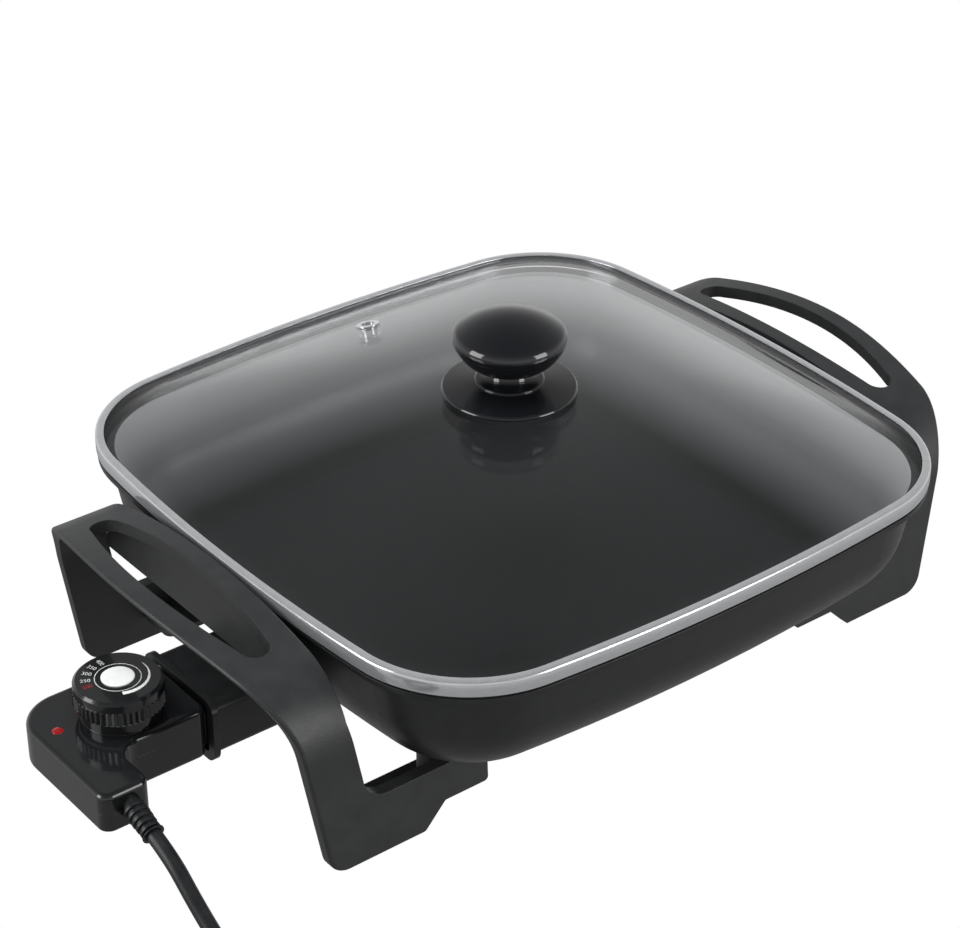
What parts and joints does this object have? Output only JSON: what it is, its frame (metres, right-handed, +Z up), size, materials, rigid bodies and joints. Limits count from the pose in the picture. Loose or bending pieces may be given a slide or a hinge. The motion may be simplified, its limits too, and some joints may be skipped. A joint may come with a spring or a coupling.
{
  "type": "electric skillet",
  "caption": "Countertop electric skillet: square nonstick pan on two arched handle-and-leg mouldings, lift-off glass lid with knob, plug-in probe controller with dial and cord.",
  "frame": {"origin": "on the table, under the middle of the pan", "axes": "+Z up; X from handle to handle, with the controller on the -X side; Y across"},
  "size_m": [0.5376, 0.3543, 0.1653],
  "materials": {
    "nonstick": "satin black nonstick coating",
    "element_sheath": "heat-tinted sheath",
    "terminal_steel": "drawn steel",
    "terminal_ceramic": "unglazed",
    "handle_phenolic": "fine-grained charcoal phenolic",
    "screw_steel": "zinc plated",
    "guard_enamel": "satin black",
    "lid_glass": "clear tempered",
    "band_steel": "polished stainless",
    "seal_rubber": "silicone",
    "knob_plastic": "polished black",
    "housing_plastic": "polished black",
    "probe_steel": "polished",
    "contact_brass": "plain",
    "dial_plastic": "black, knurled band",
    "dial_grey": "satin",
    "cap_white": "white",
    "lens_red": "translucent red",
    "lamp_glass": "clear",
    "cord_jacket": "satin black",
    "lead_insulation": "braided sleeve",
    "plug_vinyl": "satin black"
  },
  "bodies": {
    "base": {"pan": "nonstick", "heating_element": "element_sheath", "terminal_pins": "terminal_steel", "terminal_insulators": "terminal_ceramic", "left_handle": "handle_phenolic", "right_handle": "handle_phenolic", "handle_screws": "screw_steel", "socket_guard": "guard_enamel", "guard_screws": "screw_steel"},
    "lid": {"lid_glass": "lid_glass", "lid_band": "band_steel", "lid_seal": "seal_rubber", "vent_grommet": "band_steel", "knob_gasket": "seal_rubber", "knob_base": "knob_plastic", "lid_knob": "knob_plastic", "knob_washer": "screw_steel", "knob_screw": "screw_steel"},
    "controller": {"controller_top": "housing_plastic", "controller_bottom": "housing_plastic", "controller_screws": "screw_steel", "probe_rod": "probe_steel", "contact_clips": "contact_brass", "thermostat_frame": "terminal_steel", "thermostat_blades": "contact_brass", "indicator_lens": "lens_red", "indicator_lamp": "lamp_glass", "inner_leads": "lead_insulation", "strain_relief": "cord_jacket", "cord": "cord_jacket", "cord_coil": "cord_jacket", "plug_body": "plug_vinyl", "plug_blades": "contact_brass"},
    "dial": {"dial_grip": "dial_plastic", "dial_ring": "dial_grey", "dial_cap": "cap_white", "dial_spindle": "terminal_steel"}
  },
  "joints": [
    {"name": "lid_lift", "type": "slide", "parent": "base", "child": "lid", "axis": [0, 0, 1], "range_m": [0, 0.15]},
    {"name": "controller_unplug", "type": "slide", "parent": "base", "child": "controller", "axis": [-1, 0, 0], "range_m": [0, 0.06]},
    {"name": "dial_turn", "type": "hinge", "parent": "controller", "child": "dial", "pos_m": [-0.213, -0.005, 0.055], "axis": [0, 0, -1], "range_deg": [0, 270]}
  ]
}
